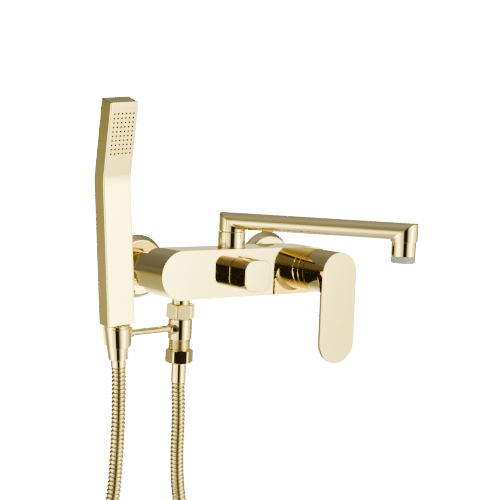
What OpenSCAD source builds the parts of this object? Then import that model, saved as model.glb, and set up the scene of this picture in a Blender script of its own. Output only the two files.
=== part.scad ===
// Wall mounted bath and shower mixer with a swivel spout, a diverter and a hand shower on a hose.
// Millimetres. X runs along the body, Y points into the wall (the wall is the plane y = 0), Z is up.
// The origin lies on the wall, midway between the two inlets.

/* [Body] */
// Distance between the centres of the two wall inlets
inlet_spacing = 150; // [140:1:200]
// Height of the round-ended body
body_h = 44; // [42:1:60]
// Depth of the body from its back to its flat front
body_depth = 38; // [34:1:60]
// Distance from the wall to the back of the body
body_back = 41; // [38:1:80]
// Sideways place of the spout and of the diverter knob
spout_x = -10; // [-25:1:5]
// Distance of the shower outlet from the left inlet
outlet_inset = 11; // [6:1:30]

/* [Wall unions] */
// Radius of the G1/2 wall thread
wall_thread_r = 10.478; // [8:0.001:14]
// Length of the wall thread behind the wall face
wall_thread_len = 15; // [10:1:25]
// Radius of each wall flange
flange_r = 30; // [27:0.5:38]
// Depth of each wall flange
flange_t = 9; // [6:0.5:12]
// Radius of the union's plain barrel
union_r = 12.5; // [12:0.1:13]
// Size across the flats of a union nut
union_nut_af = 32; // [31:1:38]

/* [Lever] */
// Radius of the bonnet and of the lever hub
hub_r = 20.7; // [19.5:0.1:24]
// Distance from the front of the body to the front of the lever plate
lever_reach = 37.2; // [36:0.1:50]
// Distance from the hub's axis to the centre of the plate's lower round
lever_drop = 63.6; // [45:0.1:90]
// Thickness of the lever plate
lever_t = 4; // [3:0.1:6]
// Radius of the ceramic cartridge
cartridge_r = 17.5; // [16.5:0.1:18.5]

/* [Diverter] */
// Width and height of the diverter knob
knob_size = 28.6; // [26:0.1:36]
// Radius of the knob's corners
knob_corner = 9; // [4:0.1:13]
// Distance that the knob stands out of the body
knob_reach = 24; // [20:0.1:34]

/* [Spout] */
// Distance from the swivel axis to the outlet axis
spout_len = 160.7; // [120:0.1:260]
// Width of the flat-sided spout tube
spout_w = 25; // [24:0.1:30]
// Height of the spout tube
spout_h = 15.4; // [14:0.1:20]
// Height of the swivel socket on the body
socket_h = 14.5; // [12:0.1:30]
// Radius of the swivel socket
socket_r = 13.05; // [12.6:0.05:18]
// Direction of the spout, in degrees from +X towards the user
spout_turn = 55.4; // [15:0.1:145]
// Height of the outlet sleeve below the spout's elbow
sleeve_h = 12.7; // [8:0.1:25]
// Radius of the outlet sleeve
sleeve_r = 11.25; // [11:0.05:12]
// Height of the aerator ring that shows below the sleeve
aerator_h = 6.3; // [4:0.1:12]

/* [Shower outlet and holder] */
// Size across the flats of the outlet's union nut
outlet_nut_af = 24; // [23.5:0.5:30]
// Radius of the tee that carries the holder
tee_r = 11.2; // [10.8:0.1:16]
// Height of the tee
tee_h = 18.3; // [14:0.1:30]
// Size across the flats of the hose nut
hose_nut_af = 23; // [22.5:0.5:27]
// Radius of the holder's arm
arm_r = 3.25; // [2.5:0.05:5]
// Distance from the tee's axis to the hand shower's axis
arm_reach = 71.4; // [50:0.1:110]
// Direction of the arm, in degrees from -X towards the user
arm_turn = 7.1; // [0:0.1:30]

/* [Hand shower] */
// Width of the hand shower's bar
bar_w = 27; // [25:0.1:36]
// Depth of the hand shower's bar
bar_d = 17; // [16:0.1:24]
// Length of the handle, up to the bend
handle_len = 126.6; // [90:0.1:180]
// Length of the head, above the bend
head_len = 69; // [60:0.1:100]
// Angle by which the head leans forward
head_bend = 14.4; // [5:0.1:25]
// Wall of the hand shower's shell
bar_wall = 1.6; // [1.2:0.1:2.2]
// Lean of the hand shower to its left, in degrees
lean_side = 4.7; // [0:0.1:10]
// Lean of the hand shower towards the user, in degrees
lean_front = 1.2; // [0:0.1:6]

/* [Hose] */
// Outer diameter of the hose
hose_d = 13.4; // [12:0.1:13.6]
// Mean radius of the tied coil
coil_r = 68; // [60:1:80]

/* [Hidden] */
$fn = 64;

gold = "#d3b668";
brass = "#b5944a";
steel = "#c0c2c4";
plastic = "#d9d9d2";
aerator_grey = "#b9bbb4";
rubber = "#2b2b2b";
ceramic = "#efe9dc";

eps = 0.05;     // overlap that keeps a cut clean
run = 0.05;     // radial clearance of a running fit
fit = 0.1;      // clearance of a fixed fit
gap = 0.6;      // visible gap between a moving piece and its neighbour

// Places along Y and Z that several pieces share
body_mid = -body_back - body_depth / 2;
body_front = -body_back - body_depth;
body_top = body_h / 2;
left_x = -inlet_spacing / 2;
right_x = inlet_spacing / 2;
water_r = 6;            // radius of the water ways in the body

// Inlet unions: distances from the back of the body towards the wall
spigot_len = 14;        // body spigot that carries the loose nut
spigot_r = 10;
collar_r = 12.2;
collar_t = 3;
washer_t = 2;
union_thread_r = 13.2;  // radius of the G3/4 thread on the union
nut_len = 20;
nut_overlap = 5;        // union thread inside the nut
union_front = -body_back + spigot_len + washer_t;
flange_wall = 1.4;      // sheet of the wall flange
flange_rim = 1.7;       // width of its rim on the wall

// Lever and cartridge, measured along Y
cartridge_depth = 26.5;
cartridge_back = body_front + cartridge_depth;
base_t = 6;
disc_t = 3.3;
housing_front = body_front + 6;
neck_r = 8.4;
neck_len = 4.5;
carrier_r = 7;
pivot_out = 18;                        // pivot in front of the body's face
pivot_y = body_front - pivot_out;
ball_r = sqrt(hub_r * hub_r + 100);    // ball-shaped back of the hub, centred on the pivot
ball_gap = 0.3;
hub_wall = 4.5;
plate_back = body_front - lever_reach + lever_t;
hub_front_wall = 4;
cheek_r = 3.5;
cheek_in = 3.3;
cheek_out = 6.8;
boss_gap = 5;
pin_r = 1.5;
screw_r = 2;

// Diverter, measured along Y
diverter_r = 8.9;
diverter_depth = 23;
shaft_r = 4;
knob_hollow = 8.4;      // depth of the hollow behind the knob
knob_front = body_front - knob_reach;

// Spout, measured along Z
seam = 0.5;
spigot_out_r = 9.45;
leg_z0 = body_top + socket_h + seam;
elbow_drop = 1.4;                      // how far the elbow reaches below the tube
leg_extra = 1.9;
tube_z = leg_z0 + leg_extra + spout_h / 2;
spout_top = tube_z + spout_h / 2;
elbow_z0 = tube_z - spout_h / 2 - elbow_drop;
sleeve_z0 = elbow_z0 - sleeve_h;
aerator_z0 = sleeve_z0 - aerator_h;
aerator_thread_r = sleeve_r - 1.7;

// Shower outlet, measured down from the body's underside
outlet_x = left_x + outlet_inset;
nipple_r = 8.5;
nut_drop = 5.3;         // nipple that shows above the nut
outlet_nut_h = 13.4;
outlet_nut_turn = 43;   // where the tightened nut's corners point
hose_nut_turn = 33;
nut_z1 = -body_top - nut_drop;
nut_z0 = nut_z1 - outlet_nut_h;
nipple_end = nut_z1 - 8.7;
outlet_washer_t = 2.2;
tee_top = nut_z0 - 0.5;
tee_bottom = tee_top - tee_h;
outlet_thread_r = 10.4;
hose_thread_r = 10.478;
thread_show = 9.2;      // thread between the tee and the hose nut
thread_in = 7.2;        // thread inside the hose nut
hose_nut_z1 = tee_bottom - thread_show;
hose_nut_h = 12.6;
hose_nut_z0 = hose_nut_z1 - hose_nut_h;
ferrule_r = 7;
ferrule_z0 = hose_nut_z0 - 18;
arm_z = tee_top - 8.1;

// Hand shower, measured along its own axis from the arm's axis
bar_s = 8.9;
nut_top = bar_s - 0.5;
nut_bottom = -22.1;
nut_top_r = 11.9;
nut_bottom_r = 8.9;
clip_top = 5.9;
clip_bottom = -10.6;
clip_top_r = 13.1;
clip_bottom_r = 12.1;
clip_slot = 14.6;
clip_gap = 0.1;
hand_ferrule_r = 6.9;
hand_ferrule_s = -28.7;
hand_thread_s = 3.5;
hand_collar_s = 0.6;
hand_collar_t = 1.4;
bend_r = 45;
plate_margin = 1.8;     // shell rim beside the spray plate
plate_s0 = 20;          // spray plate, measured up the head from the bend
plate_s1 = 64;
plate_t = 1.2;
nozzle_rows = 10;
nozzle_cols = 6;
nozzle_s0 = 24.5;
nozzle_pitch = 3.85;
nozzle_pitch_x = 3.7;
nozzle_r = 0.8;
nozzle_hole_r = 1.05;

hand_x = outlet_x - arm_reach * cos(arm_turn);
hand_y = body_mid - arm_reach * sin(arm_turn);
hand_axis = [-sin(lean_side) * cos(lean_front), -sin(lean_front), cos(lean_side) * cos(lean_front)];
hand_hose_end = [hand_x, hand_y, arm_z] + (hand_ferrule_s - 0.02) * hand_axis;

// Hose: two runs that hang down into one tied coil
coil_x = -100;
coil_z = -300;
coil_y0 = -80;
coil_turns = 2.5;
coil_pitch = 13.7;
coil_w = coil_turns * coil_pitch + hose_d;
coil_mid_y = coil_y0 + coil_turns * coil_pitch / 2;
tie_w = 10;
tie_t = 2;
tube_sides = 10;
hand_drawn_end = [-132.5, -68.2, -77.9];      // the ends that the two routes are drawn for
outlet_drawn_end = [-64, -60, -99.3];
hand_route = [
    [-131.7, -68, -88], [-131.4, -68.3, -107], [-131.5, -68.8, -128], [-133, -70, -158],
    [-137, -73, -190], [-146, -76.5, -221], [-157, -79, -253], [-165.5, -80, -280], [-168, -80, -300]
];
outlet_route = [
    [-64, -60, -104], [-63, -60, -120], [-62.6, -60, -142], [-62.5, -59.5, -164],
    [-60, -58, -191], [-53, -54.5, -221], [-43, -50, -252], [-34.5, -46.5, -280], [-32, -45.75, -300]
];

// ---------------------------------------------------------------- helpers

// Moves a route's upper points along with its end, less and less on the way down to the last point
function follow(route, move) = [
    for (i = [0 : len(route) - 1]) route[i] + move * (1 - i / (len(route) - 1))
];

// A cylinder along Y from y0 to y1
module rod_y(r, y0, y1) {
    translate([0, y1, 0]) rotate([90, 0, 0]) cylinder(r = r, h = y1 - y0);
}

// A round piece along Y whose outline is given as [radius, y] points
module turned_y(points) {
    rotate([-90, 0, 0]) rotate_extrude() polygon(points);
}

// A washer along Z from z0 to z1
module ring_z(r_out, r_in, z0, z1) {
    translate([0, 0, z0]) difference() {
        cylinder(r = r_out, h = z1 - z0);
        translate([0, 0, -1]) cylinder(r = r_in, h = z1 - z0 + 2);
    }
}

// A washer along Y from y0 to y1
module ring_y(r_out, r_in, y0, y1) {
    difference() {
        rod_y(r_out, y0, y1);
        rod_y(r_in, y0 - 1, y1 + 1);
    }
}

// A hexagonal bar along Z, af across its flats
module hex_z(af, z0, z1) {
    translate([0, 0, z0]) cylinder(r = af / sqrt(3), h = z1 - z0, $fn = 6);
}

// The outline of the body: a bar with full-round ends, w wide in all
module round_bar_2d(w, h) {
    square([w - h, h], center = true);
    for (side = [-1, 1]) translate([side * (w - h) / 2, 0]) circle(r = h / 2);
}

// A square with round corners
module round_square_2d(size, r) {
    square([size, size - 2 * r], center = true);
    square([size - 2 * r, size], center = true);
    for (sx = [-1, 1], sy = [-1, 1])
        translate([sx * (size / 2 - r), sy * (size / 2 - r)]) circle(r = r);
}

module at_inlet(x) { translate([x, 0, 0]) children(); }
module at_spout() { translate([spout_x, body_mid, 0]) children(); }
module along_spout() { at_spout() rotate([0, 0, -spout_turn]) children(); }
module at_outlet() { translate([outlet_x, body_mid, 0]) children(); }
module at_knob() { translate([spout_x, 0, 0]) children(); }

// The hand shower's own frame: its axis is Z and s = 0 is where the arm's axis crosses it
module at_hand() {
    translate([hand_x, hand_y, arm_z]) rotate([lean_front, -lean_side, 0]) children();
}

// Sweeps a round tube along a list of points
function unit(v) = v / norm(v);
function tangent(p, i) =
    i == 0 ? unit(p[1] - p[0]) :
    i == len(p) - 1 ? unit(p[i] - p[i - 1]) : unit(p[i + 1] - p[i - 1]);
function ring_points(c, t, r, n) =
    let (u = unit(cross(t, [0, 1, 0])), v = cross(t, u))
    [for (k = [0:n - 1]) c + r * (cos(360 * k / n) * u + sin(360 * k / n) * v)];
module swept_tube(p, r, n) {
    last = len(p) - 1;
    polyhedron(
        points = [for (i = [0:last]) each ring_points(p[i], tangent(p, i), r, n)],
        faces = concat(
            [[for (k = [0:n - 1]) k]],
            [[for (k = [n - 1:-1:0]) last * n + k]],
            [for (i = [0:last - 1], k = [0:n - 1])
                [i * n + k, (i + 1) * n + k, (i + 1) * n + (k + 1) % n, i * n + (k + 1) % n]]
        )
    );
}

// ---------------------------------------------------------------- body and wall unions

module body() {
    color(gold) difference() {
        union() {
            translate([0, -body_back, 0]) rotate([90, 0, 0]) linear_extrude(body_depth)
                round_bar_2d(inlet_spacing + body_h, body_h);
            for (x = [left_x, right_x]) at_inlet(x) {
                rod_y(spigot_r, -body_back - eps, -body_back + spigot_len);
                rod_y(collar_r, -body_back + spigot_len - collar_t, -body_back + spigot_len);
            }
        }
        for (x = [left_x, right_x]) at_inlet(x)
            rod_y(water_r, body_mid, -body_back + spigot_len + 1);
        // water ways from the inlets to the cartridge and from it to the spout and the shower
        for (z = [-8, 8]) translate([left_x, body_mid, z]) rotate([0, 90, 0])
            cylinder(r = water_r - 1, h = inlet_spacing - cartridge_r);
        // cartridge pocket
        at_inlet(right_x) rod_y(cartridge_r + 0.7, body_front - 1, cartridge_back + 0.2);
        // diverter pocket
        at_knob() rod_y(diverter_r + fit, body_front - 1, body_front + diverter_depth + 0.5);
        // spout seat and shower outlet
        at_spout() translate([0, 0, 6]) cylinder(r = spigot_out_r + run, h = body_h);
        at_outlet() translate([0, 0, -body_h]) cylinder(r = nipple_r + fit, h = body_h - 8);
    }
}

module wall_union(x) {
    color(brass) at_inlet(x) difference() {
        union() {
            rod_y(wall_thread_r, -eps, wall_thread_len);
            rod_y(union_r, union_front + nut_overlap + 4, 0);
            rod_y(union_thread_r, union_front, union_front + nut_overlap + 5);
        }
        rod_y(7.5, union_front - 1, wall_thread_len + 1);
    }
}

// A pressed cup: its rim rests on the wall and its hole slides over the union's barrel
module wall_flange(x) {
    hole_r = union_r + 0.4;
    color(gold) at_inlet(x) turned_y([
        [flange_r - flange_rim, 0], [flange_r, 0], [flange_r, -1.6], [flange_r - 1, -3.4],
        [flange_r - 4, 1.2 - flange_t], [flange_r - 6.5, -flange_t], [hole_r, -flange_t],
        [hole_r, flange_wall - flange_t], [flange_r - 7, flange_wall - flange_t],
        [flange_r - 4.6, 1.8 - flange_t + flange_wall / 2], [flange_r - flange_rim, -2.6]
    ]);
}

module union_nut(x) {
    color(gold) at_inlet(x) difference() {
        translate([0, -body_back + 1, 0]) rotate([-90, 0, 0]) hex_z(union_nut_af, 0, nut_len);
        rod_y(spigot_r + 0.3, -body_back, -body_back + spigot_len);
        rod_y(union_thread_r + fit, -body_back + spigot_len - collar_t - 0.2, 0);
    }
}

module inlet_washers() {
    color(rubber) for (x = [left_x, right_x]) at_inlet(x)
        ring_y(collar_r, 8, -body_back + spigot_len + 0.02, union_front - 0.02);
}

module inlet_strainers() {
    color(steel) for (x = [left_x, right_x]) at_inlet(x) difference() {
        rod_y(7.4, union_front + 1, union_front + 5);
        for (a = [0:60:300]) rotate([0, a, 0]) translate([4.4, 0, 0])
            rotate([-90, 0, 0]) translate([0, 0, union_front]) cylinder(r = 1.4, h = 8, $fn = 6);
        rotate([-90, 0, 0]) translate([0, 0, union_front]) cylinder(r = 1.4, h = 8, $fn = 6);
    }
}

// ---------------------------------------------------------------- cartridge and lever

module bonnet() {
    color(gold) at_inlet(right_x) difference() {
        union() {
            rod_y(hub_r, pivot_y, body_front);
            rod_y(cartridge_r + 0.5, body_front - 1, body_front + 2.2);
        }
        translate([0, pivot_y, 0]) sphere(r = ball_r + ball_gap);
        rod_y(cartridge_r - 1.5, body_front - 1, body_front + 3);
    }
}

module cartridge_base() {
    color(plastic) at_inlet(right_x) difference() {
        rod_y(cartridge_r, cartridge_back - base_t, cartridge_back);
        for (a = [30, 150, 270]) rotate([0, a, 0]) translate([9, 0, 0])
            rod_y(3.2, cartridge_back - base_t - 1, cartridge_back + 1);
    }
}

module cartridge_seals() {
    color(rubber) at_inlet(right_x) for (a = [30, 150, 270]) rotate([0, a, 0]) translate([9, 0, 0])
        ring_y(3.1, 2.1, cartridge_back - base_t + 0.05, cartridge_back + 0.15);
}

module fixed_disc() {
    color(ceramic) at_inlet(right_x) difference() {
        rod_y(cartridge_r - 2.4, cartridge_back - base_t - disc_t, cartridge_back - base_t - 0.05);
        for (a = [30, 150, 270]) rotate([0, a, 0]) translate([9, 0, 0])
            rod_y(2.6, cartridge_back - base_t - disc_t - 1, cartridge_back - base_t + 1);
    }
}

module moving_disc() {
    color(ceramic) at_inlet(right_x) difference() {
        rod_y(cartridge_r - 7.5, cartridge_back - base_t - 2 * disc_t - 0.1,
              cartridge_back - base_t - disc_t - 0.05);
        rod_y(4, cartridge_back - base_t - disc_t - 1.6, cartridge_back);
    }
}

module cartridge_housing() {
    color(plastic) at_inlet(right_x) difference() {
        union() {
            rod_y(cartridge_r, housing_front, cartridge_back - base_t - 0.05);
            rod_y(neck_r, housing_front - neck_len, housing_front + 1);
        }
        rod_y(cartridge_r - 2.2, housing_front + 2, cartridge_back);
        rod_y(carrier_r + run, housing_front - neck_len - 1, housing_front + 3);
    }
}

module cartridge_nut() {
    color(brass) at_inlet(right_x)
        ring_y(cartridge_r + 0.55, neck_r + 3.9, housing_front - 3.3, housing_front - 0.05);
}

// Turns with the lever and carries its pivot pin
module lever_carrier() {
    base_y = pivot_y + 14.5;
    color(plastic) at_inlet(right_x) difference() {
        union() {
            rod_y(cartridge_r - 3, housing_front + 2.2, cartridge_back - base_t - 2 * disc_t - 0.2);
            rod_y(carrier_r, base_y, housing_front + 3);
            for (side = [-1, 1]) translate([side * (cheek_in + cheek_out) / 2, 0, 0]) {
                translate([0, (pivot_y + base_y) / 2 + 0.5, 0])
                    cube([cheek_out - cheek_in, base_y - pivot_y + 1, 2 * cheek_r], center = true);
                translate([-(cheek_out - cheek_in) / 2, pivot_y, 0]) rotate([0, 90, 0])
                    cylinder(r = cheek_r, h = cheek_out - cheek_in);
            }
        }
        translate([-cheek_out - 1, pivot_y, 0]) rotate([0, 90, 0])
            cylinder(r = pin_r + 0.02, h = 2 * cheek_out + 2);
    }
}

module pivot_pin() {
    color(steel) translate([right_x - cheek_out, pivot_y, 0]) rotate([0, 90, 0])
        cylinder(r = pin_r, h = 2 * cheek_out);
}

// Flat bar on the pivot pin; the lever is clamped to it
module lever_stem() {
    stem_back = pivot_y + 12;
    stem_front = pivot_y - boss_gap - 4;
    color(steel) at_inlet(right_x) difference() {
        translate([-cheek_in + 0.2, stem_front, -3.5])
            cube([2 * cheek_in - 0.4, stem_back - stem_front, 7]);
        translate([-10, pivot_y, 0]) rotate([0, 90, 0]) cylinder(r = pin_r + run, h = 20);
    }
}

module lever() {
    color(gold) at_inlet(right_x) difference() {
        union() {
            rod_y(hub_r, plate_back - eps, pivot_y);
            intersection() {
                rod_y(hub_r, pivot_y - 1, body_front + 10);
                translate([0, pivot_y, 0]) sphere(r = ball_r);
            }
            translate([0, plate_back, -lever_drop / 2]) rotate([90, 90, 0]) linear_extrude(lever_t)
                round_bar_2d(lever_drop + 2 * hub_r, 2 * hub_r);
        }
        difference() {
            rod_y(hub_r - hub_wall, plate_back + hub_front_wall, body_front + 11);
            rod_y(9, plate_back, pivot_y - boss_gap);
        }
        translate([-cheek_in + 0.1, pivot_y - boss_gap - 4.2, -3.6])
            cube([2 * cheek_in - 0.2, 10, 7.2]);
        translate([0, pivot_y - boss_gap - 2.2, -hub_r - 1]) cylinder(r = screw_r + run, h = hub_r);
    }
}

module lever_screw() {
    color(steel) translate([right_x, pivot_y - boss_gap - 2.2, -hub_r + 3])
        difference() {
            cylinder(r = screw_r, h = hub_r - 6.6);
            translate([0, 0, -1]) cylinder(r = 1.1, h = 3, $fn = 6);
        }
}

// ---------------------------------------------------------------- diverter

module diverter_housing() {
    color(brass) at_knob() difference() {
        union() {
            rod_y(diverter_r, body_front - 0.5, body_front + diverter_depth);
            rod_y(diverter_r + 1.6, body_front - 2, body_front - 0.02);
        }
        rod_y(shaft_r + run, body_front - 3, body_front + 8);
        rod_y(diverter_r - 1.5, body_front + 7, body_front + diverter_depth + 1);
        translate([0, body_front + diverter_depth - 6, 0]) rotate([0, 90, 0])
            cylinder(r = 3.5, h = 30, center = true);
    }
}

module diverter_seal() {
    color(rubber) at_knob() translate([0, body_front + 3, 0]) rotate([90, 0, 0]) rotate_extrude()
        translate([shaft_r - 0.55, 0]) circle(r = 0.5, $fn = 16);
}

module diverter_stem() {
    color(brass) at_knob() difference() {
        union() {
            rod_y(shaft_r, knob_front + 5, body_front + 8);
            difference() {
                rod_y(diverter_r - 1.7, body_front + 8, body_front + diverter_depth - 1);
                translate([-20, body_front + 10, 1.5]) cube([40, diverter_depth, 20]);
            }
        }
        translate([0, body_front + 3, 0]) rotate([90, 0, 0]) rotate_extrude()
            translate([shaft_r - 1.1, -0.6]) square([3, 1.2]);
    }
}

module diverter_knob() {
    boss_back = body_front - knob_hollow;
    color(gold) at_knob() difference() {
        translate([0, body_front - gap, 0]) rotate([90, 0, 0]) linear_extrude(knob_reach - gap)
            round_square_2d(knob_size, knob_corner);
        rod_y(diverter_r + 2.6, boss_back, body_front + 1);
        rod_y(shaft_r + 0.03, knob_front + 4.8, body_front);
        translate([0, knob_front + 8, -knob_size / 2 - 1])
            cylinder(r = screw_r + run, h = knob_size / 2);
    }
}

module knob_screw() {
    screw_z0 = -knob_size / 2 + 1.5;
    color(steel) at_knob() translate([0, knob_front + 8, screw_z0]) difference() {
        cylinder(r = screw_r, h = -shaft_r - 0.1 - screw_z0);
        translate([0, 0, -1]) cylinder(r = 1.1, h = 3, $fn = 6);
    }
}

// ---------------------------------------------------------------- spout

module spout_socket() {
    color(gold) at_spout() difference() {
        translate([0, 0, body_top]) cylinder(r = socket_r, h = socket_h);
        cylinder(r = spigot_out_r + run, h = 2 * body_h + socket_h);
        translate([0, 0, body_top + socket_h / 2]) rotate([-90, 0, 0])
            cylinder(r = screw_r + run, h = socket_r + 1);
    }
}

// Small screw at the back of the socket; its tip runs in the spigot's groove
module spout_screw() {
    color(steel) at_spout() translate([0, 8.3, body_top + socket_h / 2]) rotate([-90, 0, 0])
        difference() {
            cylinder(r = screw_r, h = socket_r - 8.9);
            translate([0, 0, socket_r - 10.5]) cylinder(r = 1.1, h = 3, $fn = 6);
        }
}

// The tube's cross-section, placed along the spout from x0 to x1
module spout_bar(w, h, x0, x1) {
    translate([x0, 0, tube_z]) rotate([90, 0, 90]) linear_extrude(x1 - x0) round_bar_2d(w, h);
}

module spout_arm() {
    leg_r = spout_w / 2;
    color(gold) along_spout() difference() {
        union() {
            spout_bar(spout_w, spout_h, 0, spout_len);
            translate([0, 0, leg_z0]) cylinder(r = leg_r, h = tube_z - leg_z0);
            translate([spout_len, 0, elbow_z0]) cylinder(r = leg_r, h = tube_z - elbow_z0);
            for (x = [0, spout_len]) intersection() {
                translate([x, 0, tube_z - 1]) cylinder(r = leg_r, h = spout_h);
                spout_bar(spout_w, spout_h, x - spout_w, x + spout_w);
            }
        }
        spout_bar(spout_w - 5, spout_h - 5, 0, spout_len);
        translate([0, 0, leg_z0 - 1]) cylinder(r = spigot_out_r + 0.02, h = 9);
        translate([spout_len, 0, elbow_z0 - 1]) cylinder(r = sleeve_r + 0.02, h = 6);
        translate([spout_len, 0, elbow_z0 - 1]) cylinder(r = sleeve_r - 2, h = spout_h / 2);
    }
}

module spout_spigot() {
    color(brass) at_spout() difference() {
        translate([0, 0, 9]) cylinder(r = spigot_out_r, h = leg_z0 + 6 - 9);
        cylinder(r = 6.2, h = 3 * body_h + socket_h);
        ring_z(20, 8.1, body_top + socket_h / 2 - 2.4, body_top + socket_h / 2 + 2.4);
        for (z = [12.5, 18]) ring_z(20, 7.4, z - 1.2, z + 1.2);
    }
}

module spout_o_rings() {
    color(rubber) at_spout() for (z = [12.5, 18]) translate([0, 0, z])
        rotate_extrude() translate([8.45, 0]) circle(r = 1, $fn = 24);
}

module outlet_sleeve() {
    color(gold) along_spout() translate([spout_len, 0, 0])
        ring_z(sleeve_r, aerator_thread_r + 0.05, sleeve_z0, elbow_z0 + 4.9);
}

module aerator_housing() {
    color(aerator_grey) along_spout() translate([spout_len, 0, 0]) {
        ring_z(sleeve_r - 0.1, aerator_thread_r - 1.2, aerator_z0, sleeve_z0 - 0.1);
        ring_z(aerator_thread_r, aerator_thread_r - 1.2, sleeve_z0 - 0.2, sleeve_z0 + 6.5);
    }
}

module aerator_insert() {
    insert_r = aerator_thread_r - 1.25;
    color(plastic) along_spout() translate([spout_len, 0, aerator_z0 + 1]) difference() {
        cylinder(r = insert_r, h = aerator_h + 4);
        for (ring = [0:3], k = [0:max(0, 6 * ring - 1)])
            rotate([0, 0, 360 * k / max(1, 6 * ring)]) translate([1.95 * ring, 0, -1])
                cylinder(r = 0.75, h = aerator_h + 6, $fn = 6);
    }
}

module aerator_washer() {
    color(rubber) along_spout() translate([spout_len, 0, 0])
        ring_z(aerator_thread_r - 0.05, aerator_thread_r - 2.5, sleeve_z0 + 6.6, sleeve_z0 + 8.6);
}

// ---------------------------------------------------------------- shower outlet and holder

module outlet_nipple() {
    color(gold) at_outlet() difference() {
        union() {
            translate([0, 0, nipple_end]) cylinder(r = nipple_r, h = -8.5 - nipple_end);
            translate([0, 0, nipple_end]) cylinder(r = outlet_thread_r - 0.2, h = 2.5);
        }
        translate([0, 0, nipple_end - 1]) cylinder(r = water_r, h = body_h);
    }
}

module outlet_washer() {
    color(rubber) at_outlet()
        ring_z(outlet_thread_r - 0.2, water_r, nipple_end - outlet_washer_t, nipple_end - 0.02);
}

module outlet_nut() {
    color(gold) at_outlet() rotate([0, 0, outlet_nut_turn]) difference() {
        hex_z(outlet_nut_af, nut_z0, nut_z1);
        translate([0, 0, nut_z0 - 1]) cylinder(r = nipple_r + 0.2, h = 2 * outlet_nut_h);
        translate([0, 0, nut_z0 - 1]) cylinder(r = outlet_thread_r + fit, h = nipple_end + 3.7 - nut_z0);
    }
}

module holder_tee() {
    color(gold) at_outlet() difference() {
        union() {
            translate([0, 0, tee_bottom]) cylinder(r = tee_r, h = tee_h);
            translate([0, 0, tee_top - 1])
                cylinder(r = outlet_thread_r, h = nipple_end - outlet_washer_t - 0.05 - tee_top + 1);
            translate([0, 0, hose_nut_z1 - thread_in])
                cylinder(r = hose_thread_r, h = thread_show + thread_in + 1);
            translate([0, 0, arm_z]) rotate([0, -90, arm_turn])
                cylinder(r1 = arm_r + 4, r2 = arm_r + 1.4, h = tee_r + 1.6);
        }
        translate([0, 0, hose_nut_z1 - thread_in - 1]) cylinder(r = 7, h = body_h);
        translate([0, 0, arm_z]) rotate([0, -90, arm_turn])
            translate([0, 0, 7.8]) cylinder(r = arm_r + fit / 2, h = tee_r);
    }
}

module check_valve() {
    color(plastic) at_outlet() difference() {
        translate([0, 0, arm_z - 6]) cylinder(r = 6.9, h = 12);
        for (a = [0:60:300]) rotate([0, 0, a]) translate([4.2, 0, arm_z - 7])
            cylinder(r = 1.5, h = 14, $fn = 8);
    }
}

module holder_arm() {
    color(gold) at_outlet() translate([0, 0, arm_z]) rotate([0, -90, arm_turn])
        translate([0, 0, 7.9]) cylinder(r = arm_r, h = arm_reach - clip_top_r - 0.9 - 7.9);
}

// Radius of the hand shower's cone nut at the height s
function cone_r(s) =
    nut_bottom_r + (nut_top_r - nut_bottom_r) * (s - nut_bottom) / (nut_top - nut_bottom);

module holder_clip() {
    clip_h = clip_top - clip_bottom;
    color(gold) difference() {
        union() {
            at_hand() translate([0, 0, clip_bottom])
                cylinder(r1 = clip_bottom_r, r2 = clip_top_r, h = clip_h);
            translate([hand_x, hand_y, arm_z]) rotate([0, 90, arm_turn])
                translate([0, 0, clip_top_r - 3]) cylinder(r = arm_r + 1, h = 6.2);
        }
        at_hand() translate([0, 0, clip_bottom - 1])
            cylinder(r1 = cone_r(clip_bottom - 1) + clip_gap, r2 = cone_r(clip_top + 1) + clip_gap,
                     h = clip_h + 2);
        at_hand() translate([-2 * clip_top_r, -clip_slot / 2, clip_bottom - 1])
            cube([2 * clip_top_r, clip_slot, clip_h + 2]);
        translate([hand_x, hand_y, arm_z]) rotate([0, 90, arm_turn])
            translate([0, 0, clip_top_r + 0.8]) cylinder(r = arm_r + fit / 2, h = 10);
    }
}

// ---------------------------------------------------------------- hose

module hose_washer() {
    color(rubber) at_outlet()
        ring_z(hose_thread_r - 0.3, 5, hose_nut_z1 - thread_in - 1.3, hose_nut_z1 - thread_in - 0.05);
}

module hose_nut() {
    color(gold) at_outlet() rotate([0, 0, hose_nut_turn]) difference() {
        hex_z(hose_nut_af, hose_nut_z0, hose_nut_z1);
        translate([0, 0, hose_nut_z0 + 2.3]) cylinder(r = hose_thread_r + fit, h = hose_nut_h);
        translate([0, 0, hose_nut_z0 - 1]) cylinder(r = ferrule_r + fit, h = hose_nut_h);
    }
}

module hose_ferrule() {
    collar_z1 = hose_nut_z1 - thread_in - 1.4;
    color(gold) at_outlet() difference() {
        union() {
            translate([0, 0, ferrule_z0]) cylinder(r = ferrule_r, h = collar_z1 - ferrule_z0);
            translate([0, 0, hose_nut_z0 + 2.4])
                cylinder(r = hose_thread_r - 0.3, h = collar_z1 - hose_nut_z0 - 2.4);
        }
        translate([0, 0, ferrule_z0 - 1]) cylinder(r = 4, h = 30);
    }
}

module hose_run_outlet() {
    outlet_end = [outlet_x, body_mid, ferrule_z0 - 0.02];
    route = follow(outlet_route, outlet_end - outlet_drawn_end);
    color(gold) swept_tube(concat([outlet_end], route), hose_d / 2, tube_sides);
}

module hose_run_hand() {
    route = follow(hand_route, hand_hose_end - hand_drawn_end);
    color(gold) swept_tube(concat([hand_hose_end], route), hose_d / 2, tube_sides);
}

module hose_coil() {
    color(gold) translate([coil_x, coil_mid_y, coil_z]) rotate([90, 0, 0]) rotate_extrude()
        translate([coil_r, 0]) square([hose_d, coil_w], center = true);
}

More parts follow.
